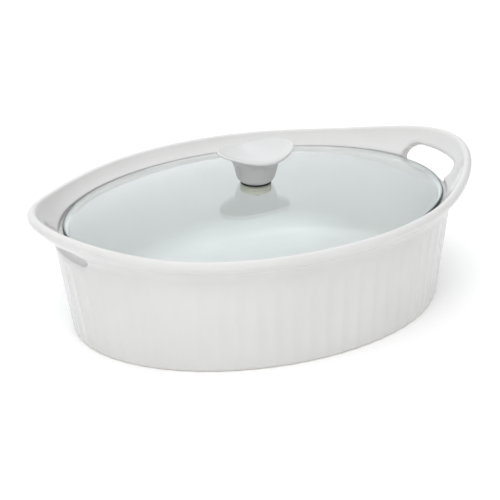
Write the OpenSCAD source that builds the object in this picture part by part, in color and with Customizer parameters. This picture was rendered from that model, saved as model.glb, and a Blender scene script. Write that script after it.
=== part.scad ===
// Oval covered casserole dish: a fluted stoneware dish with upswept slotted handles,
// a domed glass lid resting on an inner ledge, and a winged knob held on by a screw from below.
// The dish stands on Z = 0, its long axis lies along X, and +Z is up.

/* [Body] */
// Length of the base oval, handles left out
base_length = 283; // [250:1:310]
// Width of the base oval
base_width = 215.2; // [195:0.2:235]
// How far each end of the wall leans out between the base and the lid's level
end_flare = 11.7; // [6:0.1:16]
// How far each long side of the wall leans out over the same height
side_flare = 5.2; // [2:0.1:9]
// Height of the lid's edge above the table
lid_level = 79.7; // [60:0.1:100]
// Thickness of the wall low down and of the floor
wall = 8.5; // [6:0.1:10]
// Number of flutes around the wall
flute_count = 60; // [48:4:72]
// Depth of each flute
flute_depth = 0.8; // [0.4:0.1:1.6]

/* [Rim and handles] */
// Length of the oval that the rim's crest follows, before the handles are drawn out
rim_length = 318; // [314:1:332]
// Width of the rim across the long sides, to the middle of its bead
rim_width = 238; // [236:0.2:250]
// Radius of the rounded bead along the rim
bead_r = 3.6; // [2.8:0.1:4.2]
// Height of the bead's middle above the lid's edge, on the long sides
rim_rise = 5.7; // [4:0.1:9]
// How much farther each handle reaches out than the plain oval
handle_reach = 12.9; // [9:0.1:16]
// How much higher each handle sweeps than the long sides
handle_rise = 11.6; // [6:0.1:15]
// Thickness of the sloping rim wall
rim_wall = 5.4; // [4:0.1:6.5]
// Length of the hand slot through each handle
slot_length = 60; // [54:1:68]
// Height of the hand slot, measured along its own face
slot_height = 17.5; // [14:0.5:19]

/* [Lid] */
// Length of the glass lid
lid_length = 294.5; // [292:0.5:297]
// Width of the glass lid
lid_width = 216.5; // [215:0.5:218]
// Thickness of the glass
glass = 4.5; // [3.5:0.1:5]
// Rise of the lid's middle above its edge
dome = 16.9; // [14:0.1:22]

/* [Knob] */
// Length of the knob's oval top
knob_length = 59; // [50:1:66]
// Width of the knob's oval top
knob_width = 45; // [38:1:50]
// Height of the knob's top edge over its sides, above the knob's foot
knob_height = 21; // [18:0.5:26]
// How much higher the top's two ends sweep than its sides
knob_sweep = 4.5; // [2:0.5:7]
// Thickness of the wing's rounded edge over its sides
knob_edge = 2.8; // [2:0.1:3.6]
// Radius of the knob's stem at its foot
knob_foot_r = 11.6; // [10:0.1:12.5]
// Radius of the screw's shank
screw_r = 2.45; // [2:0.05:3]

/* [Hidden] */
$fn = 96;

glaze = [0.90, 0.89, 0.87];
lid_tint = [0.80, 0.86, 0.84, 0.5];
knob_white = [0.90, 0.90, 0.89];
silicone = [0.86, 0.85, 0.78];
black_rubber = [0.08, 0.08, 0.08];
steel = [0.72, 0.72, 0.72];
brass_tone = [0.78, 0.62, 0.30];

base_a = base_length / 2;
base_b = base_width / 2;
lid_a = lid_length / 2;
lid_b = lid_width / 2;
seat_gap = 0.3;
ledge_z = lid_level - glass - seat_gap;
ledge_w = 5;
side_gap = 1.2;
end_gap = 4.7;
rim_sag = 0.8;
foot_h = 2;
floor_z = foot_h + wall;
collar_z = lid_level - 11;
flute_top_z = lid_level - 18;

washer_r = 11.2;
washer_t = 1.1;
seat_z = lid_level + dome;
knob_z = seat_z + washer_t;
insert_r = 4.6;
insert_h = 12;
fit_gap = 0.02;
run_gap = 0.05;
glass_under_z = seat_z - glass;
soft_washer_t = 4;
cup_r = 8;
cup_t = 1.2;
head_z = glass_under_z - soft_washer_t - cup_t;
hole_r = 4;

// Three points per flute, spaced evenly along the oval, with a flute's middle on the long axis.
COLS = 3 * flute_count;
HALF_FLUTE = 1.5;
skew = (base_a - base_b) / (2 * (base_a + base_b)) * 180 / PI;
function spoke(i, n) =
    let (s = 360 * i / n, u = s + skew * sin(2 * s))
    atan2(base_b * sin(u), base_a * cos(u));
SPOKES = [for (i = [0:COLS - 1]) spoke(i + HALF_FLUTE, COLS)];

// Radius of an oval with half axes a and b in the direction t.
function oval(a, b, t) = 1 / sqrt(pow(cos(t) / a, 2) + pow(sin(t) / b, 2));
function mix(p, q, k) = p + (q - p) * k;
function at(r, t, z) = [r * cos(t), r * sin(t), z];

function wall_r(t, z) =
    oval(base_a + end_flare * z / lid_level, base_b + side_flare * z / lid_level, t);
function groove(i) = i % 3 == 0 ? 0 : flute_depth;
function crest_r(t) =
    oval(rim_length / 2, rim_width / 2, t) + handle_reach * pow(abs(cos(t)), 15);
function crest_z(t) = lid_level + rim_rise + handle_rise * pow(abs(cos(t)), 11);
function gap_w(t) = side_gap + (end_gap - side_gap) * pow(cos(t), 10);
function lid_r(t) = oval(lid_a, lid_b, t);
function inner_r(t, k) =
    mix(wall_r(t, floor_z) - wall, lid_r(t) - ledge_w - 1, k);

// Slope of the rim wall at t, and points on its two faces.
function rim_in(t) = [lid_r(t) + gap_w(t), lid_level + 0.5];
function rim_tip(t) = [crest_r(t), crest_z(t)];
function rim_dir(t) =
    let (d = rim_tip(t) - rim_in(t)) d / norm(d);
function rim_norm(t) = let (d = rim_dir(t)) [d[1], -d[0]];
function face_in(t, k) =
    mix(rim_in(t), rim_tip(t), k) + rim_norm(t) * rim_sag * 4 * k * (1 - k)
    - rim_norm(t) * bead_r * k;
function face_out(t, k) = face_in(t, k) + rim_norm(t) * mix(rim_wall, 2 * bead_r, k);
function bead(t, g) =
    rim_tip(t) + bead_r * (cos(g) * rim_dir(t) + sin(g) * rim_norm(t));
// The hollow under the rim is filled a little where the wall meets it.
COVE = [1.4, -0.7];
function pt(p, t) = at(p[0], t, p[1]);

// One ring of the dish's skin, listed from the underside's middle out, up, over and in.
function dish_ring(k) = [
    for (i = [0:COLS - 1])
    let (t = SPOKES[i], g = groove(i), b = wall_r(t, 0))
    k == 0 ? at(b - 16, t, foot_h)
    : k == 1 ? at(b - 13, t, 0)
    : k == 2 ? at(b - 4, t, 0)
    : k == 3 ? at(b - 1.2 - g * 0.5, t, 1.1)
    : k == 4 ? at(wall_r(t, 4) - g, t, 4)
    : k == 5 ? at(wall_r(t, 34) - g, t, 34)
    : k == 6 ? at(wall_r(t, flute_top_z) - g, t, flute_top_z)
    : k == 7 ? at(wall_r(t, collar_z), t, collar_z)
    : k == 8 ? pt(face_out(t, 0.0) + COVE, t)
    : k == 9 ? pt(face_out(t, 0.35), t)
    : k == 10 ? pt(face_out(t, 0.72), t)
    : k == 11 ? pt(bead(t, 70), t)
    : k == 12 ? pt(bead(t, 25), t)
    : k == 13 ? pt(bead(t, -25), t)
    : k == 14 ? pt(bead(t, -70), t)
    : k == 15 ? pt(face_in(t, 0.72), t)
    : k == 16 ? pt(face_in(t, 0.35), t)
    : k == 17 ? pt(face_in(t, 0.0), t)
    : k == 18 ? at(rim_in(t)[0] - 0.4, t, ledge_z)
    : k == 19 ? at(lid_r(t) - ledge_w, t, ledge_z)
    : k == 20 ? at(inner_r(t, 1), t, ledge_z - 1.5)
    : k == 21 ? at(inner_r(t, 0.15), t, floor_z + 9)
    : k == 22 ? at(inner_r(t, 0) - 3, t, floor_z + 3)
    : at(inner_r(t, 0) - 11, t, floor_z)
];

// Faces joining n rings of m points, closed by a fan at each end.
function skin_faces(n, m) = concat(
    [for (k = [0:n - 2], i = [0:m - 1])
        [k * m + i, k * m + (i + 1) % m, (k + 1) * m + (i + 1) % m, (k + 1) * m + i]],
    [for (i = [0:m - 1]) [n * m, (i + 1) % m, i]],
    [for (i = [0:m - 1]) [n * m + 1, (n - 1) * m + i, (n - 1) * m + (i + 1) % m]]);

module lofted(rings, first, last) {
    m = len(rings[0]);
    polyhedron(
        points = concat([for (r = rings) each r], [first, last]),
        faces = [for (f = skin_faces(len(rings), m)) [for (j = [len(f) - 1:-1:0]) f[j]]],
        convexity = 8);
}

// The hand slot follows a shallow arc and runs outward and down through the rim wall.
SLOT_TILT = 30;
SLOT_BOW = 120;
SLOT_OUT = 0.8;
SLOT_UP = 3.2;
slot_r = slot_height / 2;
slot_half = slot_length / 2 - slot_r;
slot_steps = 4;
function slot_y(i) = slot_half * i / slot_steps;
function slot_w(i) = sqrt(SLOT_BOW * SLOT_BOW - pow(slot_y(i), 2)) - SLOT_BOW;

module slot_pin(i) {
    translate([0, slot_y(i), slot_w(i)])
        rotate([0, 90, 0])
            cylinder(r = slot_r, h = 60, center = true, $fn = 48);
}

module hand_slot() {
    mid = rim_in(0) + [SLOT_OUT, SLOT_UP];
    translate([mid[0], 0, mid[1]])
        rotate([0, SLOT_TILT, 0])
            for (i = [-slot_steps:slot_steps - 1])
                hull() {
                    slot_pin(i);
                    slot_pin(i + 1);
                }
}

module dish() {
    color(glaze)
        difference() {
            lofted([for (k = [0:23]) dish_ring(k)], [0, 0, foot_h], [0, 0, floor_z]);
            hand_slot();
            mirror([1, 0, 0])
                hand_slot();
        }
}

// The lid's skin: a domed oval of even thickness with a flat seat in the middle.
LID_COLS = 96;
seat_r = 14;
LID_SPOKES = [for (i = [0:LID_COLS - 1]) spoke(i, LID_COLS)];
function dome_z(t, r) =
    let (u = max(0, (r - seat_r) / (lid_r(t) - seat_r))) lid_level + dome * (1 - u * u);
function lid_ring(k) = [
    for (t = LID_SPOKES)
    let (e = lid_r(t))
    k < 0 ? at(mix(seat_r, e, -k), t, dome_z(t, mix(seat_r, e, -k)) - glass)
    : at(mix(seat_r, e, k), t, dome_z(t, mix(seat_r, e, k)))
];

module glass_blank() {
    edge = [
        for (t = LID_SPOKES) at(lid_r(t), t, lid_level - 1.2)
    ];
    low_edge = [
        for (t = LID_SPOKES) at(lid_r(t) - 0.8, t, lid_level - glass)
    ];
    rise = [0.0001, 0.2, 0.4, 0.6, 0.78, 0.92];
    rings = concat(
        [for (k = rise) lid_ring(-k)],
        [low_edge, edge, lid_ring(0.992)],
        [for (j = [5:-1:0]) lid_ring(rise[j])]);
    lofted(rings, [0, 0, glass_under_z], [0, 0, seat_z]);
}

module glass_lid() {
    color(lid_tint)
        difference() {
            glass_blank();
            translate([0, 0, glass_under_z - 1])
                cylinder(r = hole_r, h = glass + 2);
        }
}

// The knob's skin: a waisted round stem that spreads into a winged oval top.
KNOB_COLS = 72;
knob_a = knob_length / 2;
knob_b = knob_width / 2;
stem_z = 14;
stem_r = 16.6;
dish_z = knob_height - 3.4;
tip_edge = 1.8;
function knob_edge_r(t) = oval(knob_a, knob_b, t);
function knob_top_z(t) = knob_height + knob_sweep * pow(cos(t), 2);
function knob_low_z(t) = knob_top_z(t) - mix(knob_edge, tip_edge, pow(cos(t), 2));
function wing(t, g, h) =
    at(mix(stem_r, knob_edge_r(t) - 0.7, g), t, knob_z + mix(stem_z, knob_low_z(t), h));
function crown(t, k) =
    at((knob_edge_r(t) - 0.9) * k, t, knob_z + mix(dish_z, knob_top_z(t), k * k));
function knob_ring(k) = [
    for (i = [0:KNOB_COLS - 1])
    let (t = 360 * i / KNOB_COLS)
    k == 0 ? at(knob_foot_r - 0.8, t, knob_z)
    : k == 1 ? at(knob_foot_r + 0.2, t, knob_z + 0.6)
    : k == 2 ? at(knob_foot_r + 1.9, t, knob_z + 2.8)
    : k == 3 ? at(14.7, t, knob_z + 6.5)
    : k == 4 ? at(stem_r - 0.6, t, knob_z + 11.5)
    : k == 5 ? at(stem_r, t, knob_z + stem_z)
    : k == 6 ? wing(t, 0.3, 0.52)
    : k == 7 ? wing(t, 0.65, 0.85)
    : k == 8 ? wing(t, 1.0, 1.0)
    : k == 9 ? at(knob_edge_r(t), t, knob_z + mix(knob_low_z(t), knob_top_z(t), 0.4))
    : k == 10 ? crown(t, 1.0)
    : k == 11 ? crown(t, 0.93)
    : k == 12 ? crown(t, 0.75)
    : crown(t, 0.4)
];

module knob() {
    color(knob_white)
        difference() {
            lofted([for (k = [0:13]) knob_ring(k)],
                [0, 0, knob_z], [0, 0, knob_z + dish_z]);
            translate([0, 0, knob_z - 1])
                cylinder(r = insert_r + fit_gap, h = insert_h + 1.5);
        }
}

// A threaded insert, shown with its threads as a plain bore.
module knob_insert() {
    color(brass_tone)
        translate([0, 0, knob_z])
            difference() {
                cylinder(r = insert_r, h = insert_h);
                translate([0, 0, -1])
                    cylinder(r = screw_r + run_gap, h = insert_h);
            }
}

module ring(r, hole, h) {
    difference() {
        cylinder(r = r, h = h);
        translate([0, 0, -1])
            cylinder(r = hole, h = h + 2);
    }
}

module upper_washer() {
    color(black_rubber)
        translate([0, 0, seat_z + fit_gap])
            ring(washer_r, screw_r + run_gap, washer_t - 2 * fit_gap);
}

module lower_washer() {
    color(silicone)
        translate([0, 0, glass_under_z - soft_washer_t + fit_gap])
            ring(washer_r, screw_r + 0.4, soft_washer_t - 2 * fit_gap);
}

module cup_washer() {
    color(steel)
        translate([0, 0, head_z + fit_gap])
            rotate_extrude()
                polygon([[screw_r + 0.4, 0], [cup_r - 1, 0], [cup_r, 0.9],
                    [cup_r, cup_t - 2 * fit_gap], [screw_r + 0.4, cup_t - 2 * fit_gap]]);
}

// A pan-head screw that comes up through the lid into the knob's insert.
module knob_screw() {
    head_r = 4.8;
    head_h = 2.4;
    slot_w = 1.2;
    color(steel)
        difference() {
            translate([0, 0, head_z - head_h])
                rotate_extrude()
                    polygon([[0, 0], [head_r - 1.4, 0], [head_r, 1.4], [head_r, head_h],
                        [screw_r, head_h], [screw_r, knob_z + insert_h - 3 - head_z + head_h],
                        [0, knob_z + insert_h - 3 - head_z + head_h]]);
            translate([0, 0, head_z - head_h])
                cube([3 * head_r, slot_w, 2], center = true);
        }
}

dish();
glass_lid();
knob();
knob_insert();
upper_washer();
lower_washer();
cup_washer();
knob_screw();
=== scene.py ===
"""Looks of the oval covered casserole dish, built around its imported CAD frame.

Shapes are worked out in millimetres, in the frame's axes, and scaled to metres when a mesh is made.
"""

import math

import bpy
from mathutils import Matrix, Vector
from mathutils.bvhtree import BVHTree


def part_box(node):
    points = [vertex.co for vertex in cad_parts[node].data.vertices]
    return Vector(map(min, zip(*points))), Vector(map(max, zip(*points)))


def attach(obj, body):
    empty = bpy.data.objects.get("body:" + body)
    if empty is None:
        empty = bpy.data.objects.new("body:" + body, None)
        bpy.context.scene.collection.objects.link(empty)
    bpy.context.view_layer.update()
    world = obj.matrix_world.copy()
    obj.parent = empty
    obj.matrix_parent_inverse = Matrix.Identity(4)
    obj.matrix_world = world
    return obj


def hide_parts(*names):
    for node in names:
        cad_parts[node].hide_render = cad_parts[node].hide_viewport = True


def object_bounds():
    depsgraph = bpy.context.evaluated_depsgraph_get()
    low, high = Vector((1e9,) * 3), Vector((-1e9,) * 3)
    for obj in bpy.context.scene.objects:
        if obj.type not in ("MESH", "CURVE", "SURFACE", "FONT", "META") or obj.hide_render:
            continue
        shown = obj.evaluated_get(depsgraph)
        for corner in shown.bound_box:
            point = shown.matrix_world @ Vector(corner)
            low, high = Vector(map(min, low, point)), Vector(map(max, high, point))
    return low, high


MM = 0.001

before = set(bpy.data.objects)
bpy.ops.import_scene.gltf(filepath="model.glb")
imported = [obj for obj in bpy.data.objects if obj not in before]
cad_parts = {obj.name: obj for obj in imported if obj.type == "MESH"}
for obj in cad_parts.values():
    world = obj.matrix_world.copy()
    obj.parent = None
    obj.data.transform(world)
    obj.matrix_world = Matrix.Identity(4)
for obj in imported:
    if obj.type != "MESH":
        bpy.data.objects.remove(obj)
cad_low, cad_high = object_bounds()


def box_mm(node):
    """Lowest and highest corner of a CAD node, in millimetres."""
    low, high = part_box(node)
    return low / MM, high / MM


dish_low, dish_high = box_mm("dish")
lid_low, lid_high = box_mm("glass_lid")
knob_low, knob_high = box_mm("knob")

# ---------------------------------------------------------------- driving sizes, in millimetres

GLASS = 4.5
LID_LEVEL = lid_low.z + GLASS
SEAT_Z = lid_high.z
LID_A = lid_high.x
LID_B = lid_high.y
SEAT_R = 14.0
LID_HOLE_R = 4.0
LID_EDGE = 1.6
WASHER_RADII = (7.0, 10.5)

BASE_A = 141.5
BASE_B = 107.6
END_FLARE = 11.7
SIDE_FLARE = 5.2
WALL = 8.5
FOOT_H = 2.0
FOOT_W = 13.0
FOOT_ROUND = 3.4
FLOOR_ROUND = 13.0
FLOOR_Z = FOOT_H + WALL

FLUTES = 60
COLUMNS_PER_FLUTE = 8
FLUTE_DEPTH = 0.8
FLUTE_TOP = LID_LEVEL - 11.0
FLUTE_FADE = 12.0

BEAD_R = 3.6
HANDLE_REACH = 12.9
HANDLE_RISE = 11.6
RIM_RISE = 5.7
RIM_A = dish_high.x - BEAD_R - HANDLE_REACH
RIM_B = dish_high.y - BEAD_R
RIM_WALL = 5.4
RIM_SAG = 0.8
RIM_BEND = 0.78
COVE_R = 15.0
BEAD_STEPS = 12

SEAT_GAP = 0.3
LEDGE_Z = LID_LEVEL - GLASS - SEAT_GAP
LEDGE_W = 5.0
SIDE_GAP = 1.2
END_GAP = 4.7

SLOT_LENGTH = 60.0
SLOT_HEIGHT = 17.5
SLOT_OUT = 0.8
SLOT_UP = 3.2
SLOT_TILT = math.radians(30)
SLOT_BOW = 120.0
SLOT_ROUND = 1.6
SLOT_REACH = 40.0
# Strength of the painted shade on the walls of the hand slots.
SLOT_SHADE = 0.38

KNOB_A = knob_high.x
KNOB_B = knob_high.y
KNOB_Z = knob_low.z
KNOB_HEIGHT = 21.0
KNOB_SWEEP = 4.5
KNOB_EDGE = 2.8
KNOB_TIP_EDGE = 1.8
KNOB_STEM_R = 16.6
KNOB_STEM_H = 14.0
KNOB_DISH_H = KNOB_HEIGHT - 3.4
KNOB_FOOT_R = 11.6
KNOB_HOLE_R = 4.62
KNOB_HOLE_H = 12.5

SCREW_R = 2.45
SCREW_HEAD_R = 4.8
SCREW_HEAD_H = 2.4
SCREW_SLOT = (14.4, 1.2, 2.0)
THREAD_PITCH = 0.8
THREAD_DEPTH = 0.42


# ---------------------------------------------------------------- shape formulas


def oval(a, b, t):
    """Radius of an oval with half axes a and b in the direction t."""
    return 1 / math.hypot(math.cos(t) / a, math.sin(t) / b)


def mix(p, q, k):
    """The value k of the way from p to q."""
    return p + (q - p) * k


def smooth(x):
    """0 below 0, 1 above 1, and a smooth step between."""
    x = min(1.0, max(0.0, x))
    return x * x * (3 - 2 * x)


def spokes(count):
    """Directions spaced evenly along the dish's oval."""
    skew = (BASE_A - BASE_B) / (2 * (BASE_A + BASE_B))
    found = []
    for i in range(count):
        s = 2 * math.pi * i / count
        u = s + skew * math.sin(2 * s)
        found.append(math.atan2(BASE_B * math.sin(u), BASE_A * math.cos(u)))
    return found


def wall_r(t, z):
    """Outer radius of the flared wall at the height z."""
    k = z / LID_LEVEL
    return oval(BASE_A + END_FLARE * k, BASE_B + SIDE_FLARE * k, t)


def lid_r(t):
    """Radius of the glass lid."""
    return oval(LID_A, LID_B, t)


def rim_in(t):
    """Inner edge of the sloping rim wall, as (radius, height)."""
    gap = mix(SIDE_GAP, END_GAP, math.cos(t) ** 10)
    return Vector((lid_r(t) + gap, LID_LEVEL + 0.5))


def rim_tip(t):
    """Middle of the bead along the rim, as (radius, height)."""
    c = abs(math.cos(t))
    return Vector(
        (
            oval(RIM_A, RIM_B, t) + HANDLE_REACH * c**15,
            LID_LEVEL + RIM_RISE + HANDLE_RISE * c**11,
        )
    )


def rim_axes(t):
    """Unit vectors up the rim wall's slope and out through its thickness."""
    along = (rim_tip(t) - rim_in(t)).normalized()
    return along, Vector((along.y, -along.x))


def face_in(t, k):
    """A point on the rim wall's upper face, k of the way from the lid to the rim."""
    _, out = rim_axes(t)
    return mix(rim_in(t), rim_tip(t), k) + out * (RIM_SAG * 4 * k * (1 - k) - BEAD_R * k)


def face_out(t, k):
    """The point under it on the wall's lower face."""
    _, out = rim_axes(t)
    return face_in(t, k) + out * mix(RIM_WALL, 2 * BEAD_R, k)


def groove(phase):
    """Depth of the flutes at a place in a flute: narrow soft ridges and round grooves."""
    soft = 0.16
    wave = math.sqrt(math.sin(math.pi * phase) ** 2 + soft * soft) - soft
    return FLUTE_DEPTH * wave / (math.sqrt(1 + soft * soft) - soft)


def rounded(corners):
    """A line through (point, radius, arc steps, steps to the next corner), its corners rounded."""
    line = []
    last = len(corners) - 1
    for i, (p, radius, arc, _) in enumerate(corners):
        if i in (0, last) or radius == 0:
            line.append([p])
            continue
        a = (corners[i - 1][0] - p).normalized()
        b = (corners[i + 1][0] - p).normalized()
        half = a.angle(b) / 2
        reach = radius / math.tan(half)
        centre = p + (a + b).normalized() * (radius / math.sin(half))
        start, end = p + a * reach - centre, p + b * reach - centre
        sweep = start.angle(end)
        points = []
        for j in range(arc + 1):
            w = sweep * j / arc
            points.append(
                centre
                + start * (math.sin(sweep - w) / math.sin(sweep))
                + end * (math.sin(w) / math.sin(sweep))
            )
        line.append(points)
    full = []
    for i, points in enumerate(line):
        full += points
        if i < last:
            steps = corners[i][3]
            full += [mix(points[-1], line[i + 1][0], j / steps) for j in range(1, steps)]
    return full


def dish_profile(t):
    """The dish's section in the direction t, from under its middle, out, up, over and in."""
    base = wall_r(t, 0)
    along, out = rim_axes(t)
    corners = [
        (Vector((base - 60, FOOT_H)), 0, 0, 3),
        (Vector((base - FOOT_W - 3, FOOT_H)), 2.0, 4, 1),
        (Vector((base - FOOT_W, 0)), 1.2, 4, 2),
        (Vector((base, 0)), FOOT_ROUND, 7, 14),
        (face_out(t, 0), COVE_R, 12, 2),
        (face_out(t, RIM_BEND), 6.0, 3, 2),
    ]
    tip = rim_tip(t)
    below = face_out(t, RIM_BEND) - tip
    touch = math.atan2(below.dot(out), below.dot(along)) - math.acos(BEAD_R / below.length)
    for j in range(BEAD_STEPS + 1):
        g = mix(touch, -math.pi / 2, j / BEAD_STEPS)
        corners.append((tip + BEAD_R * (along * math.cos(g) + out * math.sin(g)), 0, 0, 1))
    corners[-1] = (corners[-1][0], 0, 0, 3)
    floor_r = wall_r(t, FLOOR_Z) - WALL
    corners += [
        (face_in(t, RIM_BEND), 0, 0, 3),
        (face_in(t, 0.5), 0, 0, 3),
        (face_in(t, 0.25), 0, 0, 2),
        (face_in(t, -0.05), 1.2, 5, 2),
        (Vector((rim_in(t).x - 0.4, LEDGE_Z)), 1.2, 4, 2),
        (Vector((lid_r(t) - LEDGE_W, LEDGE_Z)), 1.6, 5, 2),
        (Vector((lid_r(t) - LEDGE_W - 1, LEDGE_Z - 5)), 0, 0, 8),
        (Vector((floor_r, FLOOR_Z)), FLOOR_ROUND, 9, 3),
        (Vector((floor_r - 50, FLOOR_Z)), 0, 0, 1),
    ]
    return rounded(corners)


# ---------------------------------------------------------------- mesh helpers


def new_object(name, verts, faces):
    """A smooth-shaded object from points in millimetres."""
    mesh = bpy.data.meshes.new(name)
    mesh.from_pydata([Vector(v) * MM for v in verts], [], faces)
    mesh.validate()
    mesh.polygons.foreach_set("use_smooth", [True] * len(mesh.polygons))
    obj = bpy.data.objects.new(name, mesh)
    bpy.context.scene.collection.objects.link(obj)
    return obj


def skin(rings, first, last):
    """Points and faces of a closed skin through equal rings, closed by a point at each end."""
    n, m = len(rings), len(rings[0])
    verts = [p for ring in rings for p in ring] + [first, last]
    faces = [(n * m, (i + 1) % m, i) for i in range(m)]
    for k in range(n - 1):
        for i in range(m):
            j = (i + 1) % m
            faces.append((k * m + i, k * m + j, (k + 1) * m + j, (k + 1) * m + i))
    top = (n - 1) * m
    faces += [(n * m + 1, top + i, top + (i + 1) % m) for i in range(m)]
    return verts, faces


def tube(rings):
    """Points and faces of a closed ring-shaped skin: the last ring joins the first."""
    n, m = len(rings), len(rings[0])
    verts = [p for ring in rings for p in ring]
    faces = []
    for k in range(n):
        for i in range(m):
            j, q = (i + 1) % m, (k + 1) % n
            faces.append((k * m + i, k * m + j, q * m + j, q * m + i))
    return verts, faces


def polar(r, t, z):
    """The point at radius r in the direction t, at the height z."""
    return Vector((r * math.cos(t), r * math.sin(t), z))


# ---------------------------------------------------------------- the dish


def dish_rings():
    """The dish's skin as rings of points, fluted on the outside of its wall."""
    columns = FLUTES * COLUMNS_PER_FLUTE
    lines = []
    for i, t in enumerate(spokes(columns)):
        cut = groove((i % COLUMNS_PER_FLUTE) / COLUMNS_PER_FLUTE + 0.5)
        crest = rim_tip(t).y
        line = []
        for p in dish_profile(t):
            r, z = p
            outside = smooth((r - (wall_r(t, z) - 4)) / 3) if z < crest else 0
            fade = smooth((FLUTE_TOP - z) / FLUTE_FADE) * smooth((z + 0.4) / 3.0)
            line.append(polar(r - cut * outside * fade, t, z))
        lines.append(line)
    return [[line[k] for line in lines] for k in range(len(lines[0]))]


def slot_outline(steps=22):
    """The hand slot's bowed outline, as (across, up) in its own face, and its outward normals."""
    r = SLOT_HEIGHT / 2
    half = SLOT_LENGTH / 2 - r

    def rise(y):
        return math.sqrt(SLOT_BOW**2 - y * y)

    def spine(y):
        return Vector((y, rise(y) - SLOT_BOW))

    points = []
    for side in (1, -1):
        for j in range(steps + 1):
            y = side * mix(-half, half, j / steps)
            normal = side * Vector((y, rise(y))).normalized()
            points.append((spine(y) + normal * r, normal))
        end = spine(side * half)
        start = math.atan2(normal.y, normal.x)
        for j in range(1, steps):
            angle = start - math.pi * j / steps
            normal = Vector((math.cos(angle), math.sin(angle)))
            points.append((end + normal * r, normal))
    return points


def slot_cutter(side, tree):
    """A cutter for one hand slot whose ends flare, so that it leaves rounded edges."""
    place = rim_in(0) + Vector((SLOT_OUT, SLOT_UP))
    origin = Vector((side * place.x, 0, place.y))
    axis = Vector((side * math.cos(SLOT_TILT), 0, -math.sin(SLOT_TILT)))
    up = Vector((side * math.sin(SLOT_TILT), 0, math.cos(SLOT_TILT)))
    across = Vector((0, 1, 0))
    columns = []
    for q, normal in slot_outline():
        point = origin + across * q.x + up * q.y
        outward = across * normal.x + up * normal.y
        column = []
        for way in (1, -1):
            start = (point - axis * way * SLOT_REACH) * MM
            hit, surface, _, _ = tree.ray_cast(start, axis * way, 2 * SLOT_REACH * MM)
            entry = hit / MM
            if surface.dot(axis) * way > 0:
                surface = -surface
            slope = outward - axis * (outward.dot(surface) / axis.dot(surface))
            slope.normalize()
            rim = [entry + slope * (SLOT_ROUND * 1.6) + surface * 0.6]
            for j in range(7):
                k = j / 6
                rim.append(
                    entry
                    + slope * (SLOT_ROUND * (1 - k) ** 2)
                    + axis * (way * SLOT_ROUND * k * k)
                )
            column.append(rim)
        columns.append(column[0] + column[1][::-1])
    rings = [[c[k] for c in columns] for k in range(len(columns[0]))]
    verts, faces = skin(rings, origin - axis * 16, origin + axis * 18)
    return new_object(f"slot_cutter_{side}", verts, faces)


def fix_normals(obj):
    """Turns every face of a closed object outwards."""
    bpy.context.view_layer.objects.active = obj
    obj.select_set(True)
    bpy.ops.object.mode_set(mode="EDIT")
    bpy.ops.mesh.select_all(action="SELECT")
    bpy.ops.mesh.normals_make_consistent(inside=False)
    bpy.ops.object.mode_set(mode="OBJECT")
    obj.select_set(False)


def apply_modifiers(obj):
    """Replaces the object's mesh with the result of its modifiers."""
    graph = bpy.context.evaluated_depsgraph_get()
    mesh = bpy.data.meshes.new_from_object(obj.evaluated_get(graph))
    obj.modifiers.clear()
    obj.data = mesh


def cut_away(obj, cutters):
    """Cuts the cutters out of the object and removes them."""
    for cutter in cutters:
        fix_normals(cutter)
        cut = obj.modifiers.new("cut", "BOOLEAN")
        cut.operation = "DIFFERENCE"
        cut.solver = "EXACT"
        cut.object = cutter
    apply_modifiers(obj)
    for cutter in cutters:
        bpy.data.objects.remove(cutter)
    obj.data.polygons.foreach_set("use_smooth", [True] * len(obj.data.polygons))


def build_dish():
    """The fluted dish with its two hand slots."""
    rings = dish_rings()
    verts, faces = skin(rings, Vector((0, 0, FOOT_H)), Vector((0, 0, FLOOR_Z)))
    dish = new_object("stoneware_dish", verts, faces)
    fix_normals(dish)
    tree = BVHTree.FromPolygons([v.co for v in dish.data.vertices], faces)
    cut_away(dish, [slot_cutter(side, tree) for side in (1, -1)])
    return dish


# ---------------------------------------------------------------- the lid


def dome_z(t, r):
    """Height of the glass's upper face."""
    u = max(0.0, (r - SEAT_R) / (lid_r(t) - SEAT_R))
    return mix(LID_LEVEL, SEAT_Z, 1 - u * u)


def build_lid():
    """The domed glass: from its hole, out under it, round its edge and back over it."""
    columns = 240
    directions = spokes(columns)
    rings = []
    steps = 26
    reaches = [k / steps for k in range(steps)]

    def ring(shape):
        rings.append([shape(t) for t in directions])

    for z, r in ((SEAT_Z - GLASS + 0.4, LID_HOLE_R), (SEAT_Z - GLASS, LID_HOLE_R + 0.4)):
        ring(lambda t, z=z, r=r: polar(r, t, z))
    for r in WASHER_RADII:
        ring(lambda t, r=r: polar(r, t, SEAT_Z - GLASS))
    for k in reaches:
        ring(lambda t, k=k: under_glass(t, k))
    edge_steps = 10
    for j in range(edge_steps + 1):
        angle = math.pi * (j / edge_steps - 0.5)
        ring(lambda t, a=angle: edge_glass(t, a))
    for k in reversed(reaches):
        ring(lambda t, k=k: over_glass(t, k))
    for r in reversed(WASHER_RADII):
        ring(lambda t, r=r: polar(r, t, SEAT_Z))
    for z, r in ((SEAT_Z, LID_HOLE_R + 0.4), (SEAT_Z - 0.4, LID_HOLE_R)):
        ring(lambda t, z=z, r=r: polar(r, t, z))
    lid = new_object("domed_glass", *tube(rings))
    fix_normals(lid)
    return lid


def over_glass(t, k):
    """A point on the upper face, k of the way from the seat to the edge."""
    r = mix(SEAT_R, lid_r(t) - LID_EDGE, k)
    return polar(r, t, dome_z(t, r))


def under_glass(t, k):
    """The point under it on the lower face."""
    r = mix(SEAT_R, lid_r(t) - LID_EDGE, k)
    return polar(r, t, dome_z(t, r) - GLASS)


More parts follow.
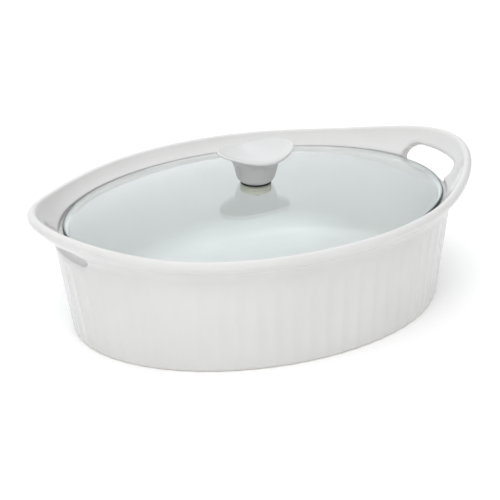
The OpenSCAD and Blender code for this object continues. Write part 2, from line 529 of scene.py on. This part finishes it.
def edge_glass(t, angle):
    """The lid's polished edge, rounded from its lower face to its upper one."""
    r = lid_r(t) - LID_EDGE
    top = dome_z(t, r)
    middle = top - GLASS / 2
    bulge = max(0.0, math.cos(angle)) ** 0.7
    lift = math.copysign(abs(math.sin(angle)) ** 0.8, angle)
    drop = (top - LID_LEVEL) * (1 + abs(lift)) / 2 * bulge
    return polar(r + LID_EDGE * bulge, t, middle + lift * GLASS / 2 - drop)


# ---------------------------------------------------------------- the knob


def knob_edge_r(t):
    """Radius of the wing's edge."""
    return oval(KNOB_A, KNOB_B, t)


def knob_top_z(t):
    """Height of the wing's edge, highest at its two ends."""
    return KNOB_Z + KNOB_HEIGHT + KNOB_SWEEP * math.cos(t) ** 2


def knob_section(t):
    """The knob's section in the direction t, from its foot's hole, out, up, over and in."""
    edge_r, top = knob_edge_r(t), knob_top_z(t)
    thick = mix(KNOB_EDGE, KNOB_TIP_EDGE, math.cos(t) ** 2)
    low = top - thick
    z = KNOB_Z
    stem = z + KNOB_STEM_H
    wing_r = edge_r - 0.7
    flank = [
        (KNOB_FOOT_R + 0.2, z + 0.6),
        (KNOB_FOOT_R + 1.9, z + 2.8),
        (14.7, z + 6.5),
        (KNOB_STEM_R - 0.6, z + 11.5),
        (KNOB_STEM_R, stem),
        (mix(KNOB_STEM_R, wing_r, 0.3), mix(stem, low, 0.52)),
        (mix(KNOB_STEM_R, wing_r, 0.65), mix(stem, low, 0.85)),
        (wing_r, low),
        (edge_r - 0.12, low + thick * 0.25),
        (edge_r, low + thick * 0.5),
        (edge_r - 0.3, low + thick * 0.8),
    ]
    middle = z + KNOB_DISH_H

    def crown(k):
        return ((edge_r - 0.9) * k, mix(middle, top, k * k))

    line = [(KNOB_HOLE_R, z + KNOB_HOLE_H), (KNOB_HOLE_R, z + 0.4), (KNOB_HOLE_R + 0.4, z)]
    line += [(KNOB_FOOT_R - 0.8, z)]
    line += catmull(flank, 4)
    line += [crown(k) for k in (1.0, 0.97, 0.92, 0.86, 0.78, 0.68, 0.56, 0.43, 0.3, 0.15)]
    return [Vector(p) for p in line]


def catmull(points, steps):
    """A smooth line through the points, with this many steps between each two."""
    pts = [Vector(p) for p in points]
    pts = [pts[0] * 2 - pts[1]] + pts + [pts[-1] * 2 - pts[-2]]
    line = []
    for i in range(1, len(pts) - 2):
        a, b, c, d = pts[i - 1 : i + 3]
        for j in range(steps):
            k = j / steps
            line.append(
                0.5
                * (
                    2 * b
                    + (c - a) * k
                    + (2 * a - 5 * b + 4 * c - d) * k * k
                    + (3 * b - 3 * c + d - a) * k * k * k
                )
            )
    line.append(pts[-2])
    return line


def build_knob():
    """The winged knob with the blind hole that takes its insert."""
    columns = 144
    lines = []
    for i in range(columns):
        t = 2 * math.pi * i / columns
        lines.append([polar(p.x, t, p.y) for p in knob_section(t)])
    rings = [[line[k] for line in lines] for k in range(len(lines[0]))]
    first = Vector((0, 0, KNOB_Z + KNOB_HOLE_H))
    last = Vector((0, 0, KNOB_Z + KNOB_DISH_H))
    knob = new_object("winged_knob", *skin(rings, first, last))
    fix_normals(knob)
    return knob


# ---------------------------------------------------------------- the screw


def thread_r(t, z, start, end):
    """Radius of the threaded shank: one right-hand groove between plain ends."""
    phase = (z / THREAD_PITCH - t / (2 * math.pi)) % 1
    depth = THREAD_DEPTH * min(1.0, max(0.0, abs(2 * phase - 1) * 1.25 - 0.125))
    run_in = smooth((z - start) / THREAD_PITCH) * smooth((end - z) / THREAD_PITCH + 0.3)
    return SCREW_R - depth * run_in - 0.5 * smooth(1 - (end - z) / 0.7)


def build_screw():
    """A slotted pan-head screw with a real helical thread, standing on its head."""
    low, high = box_mm("knob_screw")
    columns, steps = 32, 8
    directions = [2 * math.pi * i / columns for i in range(columns)]
    head = catmull([(SCREW_HEAD_R - 1.4, 0), (SCREW_HEAD_R - 0.5, 0.5), (SCREW_HEAD_R, 1.4)], 4)
    head += [Vector((SCREW_HEAD_R, SCREW_HEAD_H - 0.1)), Vector((SCREW_HEAD_R - 0.1, SCREW_HEAD_H))]
    rings = [[polar(p.x, t, low.z + p.y) for t in directions] for p in head]
    start = low.z + SCREW_HEAD_H
    count = round((high.z - start) / THREAD_PITCH * steps)
    for k in range(count + 1):
        z = mix(start, high.z, k / count)
        rings.append([polar(thread_r(t, z, start, high.z), t, z) for t in directions])
    screw = new_object("slotted_screw", *skin(rings, (0, 0, low.z), (0, 0, high.z)))
    fix_normals(screw)
    x, y, z = (side / 2 for side in SCREW_SLOT)
    corners = [(i * x, j * y, low.z + k * z) for k in (-1, 1) for j in (-1, 1) for i in (-1, 1)]
    sides = [(0, 1, 3, 2), (4, 5, 7, 6), (0, 1, 5, 4), (2, 3, 7, 6), (0, 2, 6, 4), (1, 3, 7, 5)]
    cut_away(screw, [new_object("driver_slot", corners, sides)])
    return screw


# ---------------------------------------------------------------- materials


class Nodes:
    """Short calls for building one material's nodes."""

    def __init__(self, name):
        self.material = bpy.data.materials.new(name)
        self.material.use_nodes = True
        self.tree = self.material.node_tree
        self.tree.nodes.clear()
        self.out = self.tree.nodes.new("ShaderNodeOutputMaterial")
        self.where = self.add("ShaderNodeTexCoord").outputs["Object"]

    def add(self, kind, **settings):
        node = self.tree.nodes.new(kind)
        for name, value in settings.items():
            setattr(node, name, value)
        return node

    def link(self, a, b):
        self.tree.links.new(a, b)

    def noise(self, scale, detail=3.0, rough=0.5, stretch=(1, 1, 1)):
        moved = self.add("ShaderNodeMapping")
        self.link(self.where, moved.inputs["Vector"])
        moved.inputs["Scale"].default_value = stretch
        node = self.add("ShaderNodeTexNoise")
        self.link(moved.outputs["Vector"], node.inputs["Vector"])
        node.inputs["Scale"].default_value = scale
        node.inputs["Detail"].default_value = detail
        node.inputs["Roughness"].default_value = rough
        return node.outputs["Fac"]

    def math(self, operation, *values):
        node = self.add("ShaderNodeMath", operation=operation)
        for socket, value in zip(node.inputs, values):
            if isinstance(value, bpy.types.NodeSocket):
                self.link(value, socket)
            else:
                socket.default_value = value
        return node.outputs[0]

    def ramp(self, value, low, high, first, last):
        """Colours or numbers from first to last as value goes from low to high."""
        node = self.add("ShaderNodeMapRange")
        self.link(value, node.inputs["Value"])
        node.inputs["From Min"].default_value = low
        node.inputs["From Max"].default_value = high
        node.inputs["To Min"].default_value = first
        node.inputs["To Max"].default_value = last
        node.interpolation_type = "SMOOTHSTEP"
        return node.outputs["Result"]

    def blend(self, factor, a, b):
        node = self.add("ShaderNodeMix", data_type="RGBA")
        self.link(factor, node.inputs["Factor"])
        for value, name in ((a, "A"), (b, "B")):
            socket = [s for s in node.inputs if s.name == name and s.type == "RGBA"][0]
            if isinstance(value, tuple):
                socket.default_value = (*value, 1)
            else:
                self.link(value, socket)
        return [s for s in node.outputs if s.type == "RGBA"][0]

    def shader(self, **values):
        node = self.add("ShaderNodeBsdfPrincipled")
        for name, value in values.items():
            socket = node.inputs[name.replace("_", " ")]
            if isinstance(value, bpy.types.NodeSocket):
                self.link(value, socket)
            elif isinstance(value, tuple):
                socket.default_value = (*value, 1)
            else:
                socket.default_value = value
        return node

    def bump(self, shader, height, distance, strength=1.0):
        node = self.add("ShaderNodeBump")
        node.inputs["Strength"].default_value = strength
        node.inputs["Distance"].default_value = distance
        self.link(height, node.inputs["Height"])
        self.link(node.outputs["Normal"], shader.inputs["Normal"])

    def finish(self, shader):
        self.link(shader, self.out.inputs["Surface"])
        return self.material


def slot_shade_mask(n, x, y, z):
    """Mask of the painted shade: 1 on the walls of the hand slots, fading to 0 over their rounded
    edges.
    """
    place = rim_in(0) + Vector((SLOT_OUT, SLOT_UP))
    radius = SLOT_HEIGHT / 2
    half = SLOT_LENGTH / 2 - radius
    run = n.math("SUBTRACT", n.math("ABSOLUTE", x), place.x * MM)
    rise = n.math("SUBTRACT", z, place.y * MM)
    height = n.math(
        "MULTIPLY_ADD",
        run,
        math.sin(SLOT_TILT),
        n.math("MULTIPLY", rise, math.cos(SLOT_TILT)),
    )
    bowed = n.math("MULTIPLY_ADD", n.math("MULTIPLY", y, y), 0.5 / (SLOT_BOW * MM), height)
    beyond = n.math("MAXIMUM", n.math("SUBTRACT", n.math("ABSOLUTE", y), half * MM), 0.0)
    square = n.math("MULTIPLY_ADD", beyond, beyond, n.math("MULTIPLY", bowed, bowed))
    return n.ramp(n.math("SQRT", square), (radius + 0.1) * MM, (radius + 0.8) * MM, 1, 0)


def glaze_material():
    """White glaze with faint pools and specks, bare at the foot, with painted shade on the walls of
    the hand slots.
    """
    n = Nodes("white_glaze")
    pools = n.noise(14, 4, 0.55)
    specks = n.noise(420, 2, 0.6)
    tone = n.blend(n.ramp(pools, 0.35, 0.7, 0, 1), (0.675, 0.672, 0.666), (0.70, 0.698, 0.693))
    tone = n.blend(n.ramp(specks, 0.72, 0.80, 0, 0.25), tone, (0.60, 0.58, 0.54))
    height = n.add("ShaderNodeSeparateXYZ")
    n.link(n.where, height.inputs[0])
    bare = n.ramp(height.outputs["Z"], 0.0, 0.0011, 1, 0)
    tone = n.blend(bare, tone, (0.60, 0.56, 0.49))
    # Painted shade: the walls of the hand slots are darkened to a mauve grey, standing in for the
    # shade inside the slots under the handles.
    shade = slot_shade_mask(n, *height.outputs[:3])
    tone = n.blend(n.math("MULTIPLY", shade, SLOT_SHADE), tone, (0.30, 0.27, 0.28))
    sheen = n.ramp(n.noise(60, 3), 0.3, 0.7, 0.16, 0.26)
    rough = n.add("ShaderNodeMix", data_type="FLOAT")
    n.link(bare, rough.inputs["Factor"])
    n.link(sheen, rough.inputs[2])
    rough.inputs[3].default_value = 0.85
    shader = n.shader(Base_Color=tone, Roughness=rough.outputs[0], IOR=1.52)
    n.bump(shader, n.noise(90, 3, 0.5), 0.00018, 0.4)
    return n.finish(shader.outputs[0])


def glass_material():
    """Clear glass with a near-black painted edge, painted shade for the gap round the lid and for
    the light lost in the thick edge; its shadow is only a tint.
    """
    n = Nodes("lid_glass")
    smear = n.noise(35, 3)
    oval_space = n.add("ShaderNodeMapping")
    n.link(n.where, oval_space.inputs["Vector"])
    oval_space.inputs["Scale"].default_value = (1 / (LID_A * MM), 1 / (LID_B * MM), 0)
    reach = n.add("ShaderNodeVectorMath", operation="LENGTH")
    n.link(oval_space.outputs["Vector"], reach.inputs[0])
    # Painted shade: towards the edge the glass colour turns near-black. The shadow tint there is
    # darker too.
    rim = n.ramp(reach.outputs["Value"], 0.982, 0.993, 0, 1)
    shader = n.shader(
        Base_Color=n.blend(rim, (0.942, 0.970, 0.966), (0.14, 0.17, 0.165)),
        Roughness=n.ramp(smear, 0.35, 0.75, 0.0, 0.03),
        IOR=1.5,
        Transmission_Weight=1.0,
    )
    n.bump(shader, n.noise(18, 2), 0.0004, 0.25)
    clear = n.add("ShaderNodeBsdfTransparent")
    n.link(n.blend(rim, (0.90, 0.945, 0.945), (0.15, 0.18, 0.17)), clear.inputs["Color"])
    light = n.add("ShaderNodeLightPath")
    mixed = n.add("ShaderNodeMixShader")
    n.link(light.outputs["Is Shadow Ray"], mixed.inputs[0])
    n.link(shader.outputs[0], mixed.inputs[1])
    n.link(clear.outputs[0], mixed.inputs[2])
    return n.finish(mixed.outputs[0])


def knob_material():
    """Smooth white phenolic."""
    n = Nodes("knob_white")
    tone = n.blend(n.ramp(n.noise(40, 3), 0.3, 0.7, 0, 1), (0.63, 0.63, 0.63), (0.65, 0.65, 0.65))
    shader = n.shader(
        Base_Color=tone,
        Roughness=n.ramp(n.noise(12, 2), 0.3, 0.7, 0.24, 0.28),
        IOR=1.5,
    )
    n.bump(shader, n.noise(9, 1), 0.0001, 0.1)
    return n.finish(shader.outputs[0])


def rubber_material(name, dark, light, rough):
    """Matt rubber or silicone with a fine grain."""
    n = Nodes(name)
    grain = n.noise(700, 4, 0.6)
    shader = n.shader(
        Base_Color=n.blend(n.ramp(grain, 0.3, 0.7, 0, 1), dark, light),
        Roughness=n.ramp(grain, 0.3, 0.7, rough, rough + 0.12),
        IOR=1.42,
    )
    n.bump(shader, grain, 0.00006, 0.6)
    return n.finish(shader.outputs[0])


def metal_material(name, dark, light, stretch):
    """Metal with fine turning lines, drawn out as stretch says."""
    n = Nodes(name)
    lines = n.noise(900, 3, 0.6, stretch)
    shader = n.shader(
        Base_Color=n.blend(n.ramp(lines, 0.3, 0.7, 0, 1), dark, light),
        Metallic=1.0,
        Roughness=n.ramp(lines, 0.3, 0.7, 0.24, 0.40),
    )
    n.bump(shader, lines, 0.00003, 0.5)
    return n.finish(shader.outputs[0])


def floor_material():
    """Pale studio paper."""
    n = Nodes("pale_floor")
    tone = n.blend(n.ramp(n.noise(6, 2), 0.3, 0.7, 0, 1), (0.90, 0.90, 0.90), (0.92, 0.92, 0.92))
    shader = n.shader(Base_Color=tone, Roughness=0.9, Emission_Color=(1.0, 1.0, 1.0))
    shader.inputs["Specular IOR Level"].default_value = 0.1
    shader.inputs["Emission Strength"].default_value = FLOOR_GLOW
    return n.finish(shader.outputs[0])


def paint(obj, material):
    """Gives the object this one material."""
    obj.data.materials.clear()
    obj.data.materials.append(material)


# ---------------------------------------------------------------- the object's pieces

dish = build_dish()
paint(dish, glaze_material())
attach(dish, "dish")
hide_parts("dish")

lid = build_lid()
paint(lid, glass_material())
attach(lid, "lid")
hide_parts("glass_lid")

knob = build_knob()
paint(knob, knob_material())
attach(knob, "knob")
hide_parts("knob")

steel = metal_material("steel", (0.55, 0.55, 0.56), (0.66, 0.66, 0.67), (1, 1, 0.1))
brass = metal_material("brass", (0.62, 0.45, 0.18), (0.72, 0.55, 0.25), (1, 1, 0.1))
gasket = rubber_material("black_gasket", (0.012, 0.012, 0.012), (0.03, 0.03, 0.03), 0.5)
silicone = rubber_material("cream_silicone", (0.62, 0.60, 0.50), (0.70, 0.68, 0.58), 0.55)

screw = build_screw()
paint(screw, steel)
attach(screw, "lid")
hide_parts("knob_screw")

FINISHES = {
    "knob_insert": ("brass", brass),
    "upper_washer": ("black_gasket", gasket),
    "lower_washer": ("silicone", silicone),
    "cup_washer": ("steel", steel),
}
for node, (slot, material) in FINISHES.items():
    paint(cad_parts[node], material)

# ---------------------------------------------------------------- the stage

scene = bpy.context.scene
scene.view_settings.view_transform = "Standard"

FLOOR_SIZE = 6000
FLOOR_GLOW = 0.13
WORLD_LEVEL = 0.48
GLOWS = [
    ((0.37, 0.56, 0.74), 13, (0.84, 0.92, 1.0), 1.0),
    ((0.05, 0.9, 0.4), 55, (0.93, 0.97, 1.0), 0.65),
    ((-0.75, -0.6, 0.35), 95, (1.0, 1.0, 1.0), 0.1),
]
PANELS = [
    ("key", (-0.9, -1.4, 2.0), (1.6, 1.2), 16.5),
    ("top", (-0.4, -0.3, 2.2), (3.0, 2.4), 27.5),
]
PANEL_AIM = Vector((0, 0, 0.05))

AZIMUTH = math.radians(-29.465)
ELEVATION = math.radians(23.064)
ROLL = math.radians(-0.748)
DISTANCE = 1.6236
LENS = 160.44
AIM_OFFSET = Vector((-0.0108, -0.0092, -0.0133))


def build_floor():
    """A wide floor under the object, kept out of the model."""
    size = FLOOR_SIZE
    corners = [(-size, -size, 0), (size, -size, 0), (size, size, 0), (-size, size, 0)]
    floor = new_object("floor", corners, [(0, 1, 2, 3)])
    paint(floor, floor_material())


def area_light(name, place, size, power):
    """A soft panel that lights the object without showing as a hard patch in the glass."""
    data = bpy.data.lights.new(name, "AREA")
    data.shape = "RECTANGLE"
    data.size, data.size_y = size
    data.energy = power
    lamp = bpy.data.objects.new(name, data)
    scene.collection.objects.link(lamp)
    lamp.location = place
    lamp.rotation_euler = (PANEL_AIM - Vector(place)).to_track_quat("-Z", "Y").to_euler()
    lamp.visible_glossy = False


def soft_glow(tree, direction, edge, color, strength):
    """A round soft brightening of the surroundings about a direction, edge degrees wide."""
    where = tree.nodes.new("ShaderNodeTexCoord")
    turn = tree.nodes.new("ShaderNodeVectorMath")
    turn.operation = "DOT_PRODUCT"
    tree.links.new(where.outputs["Generated"], turn.inputs[0])
    turn.inputs[1].default_value = Vector(direction).normalized()
    fall = tree.nodes.new("ShaderNodeMapRange")
    fall.interpolation_type = "SMOOTHSTEP"
    tree.links.new(turn.outputs["Value"], fall.inputs["Value"])
    fall.inputs["From Min"].default_value = math.cos(math.radians(edge))
    fall.inputs["To Max"].default_value = strength
    glow = tree.nodes.new("ShaderNodeBackground")
    glow.inputs["Color"].default_value = (*color, 1)
    tree.links.new(fall.outputs["Result"], glow.inputs["Strength"])
    return glow.outputs[0]


def build_lights():
    """An even pale world with soft glows in it, and two soft panels."""
    world = bpy.data.worlds.new("studio")
    world.use_nodes = True
    tree = world.node_tree
    back = tree.nodes["Background"]
    back.inputs["Color"].default_value = (1, 1, 1, 1)
    back.inputs["Strength"].default_value = WORLD_LEVEL
    total = back.outputs[0]
    for glow in GLOWS:
        joined = tree.nodes.new("ShaderNodeAddShader")
        tree.links.new(total, joined.inputs[0])
        tree.links.new(soft_glow(tree, *glow), joined.inputs[1])
        total = joined.outputs[0]
    tree.links.new(total, tree.nodes["World Output"].inputs["Surface"])
    scene.world = world
    for panel in PANELS:
        area_light(*panel)


def build_camera():
    """A long lens from the front left, a little above, aimed near the object's middle."""
    a, e = AZIMUTH, ELEVATION
    back = Vector((math.sin(a) * math.cos(e), -math.cos(a) * math.cos(e), math.sin(e)))
    right = Vector((math.cos(a), math.sin(a), 0))
    up = back.cross(right)
    rolled = right * math.cos(ROLL) + up * math.sin(ROLL)
    aim = (cad_low + cad_high) / 2 + AIM_OFFSET
    data = bpy.data.cameras.new("camera")
    data.lens = LENS
    data.sensor_width = 36
    data.clip_end = 30
    camera = bpy.data.objects.new("camera", data)
    scene.collection.objects.link(camera)
    turn = Matrix((rolled, back.cross(rolled), back)).transposed()
    camera.matrix_world = Matrix.Translation(aim + back * DISTANCE) @ turn.to_4x4()
    scene.camera = camera


build_floor()
build_lights()
build_camera()
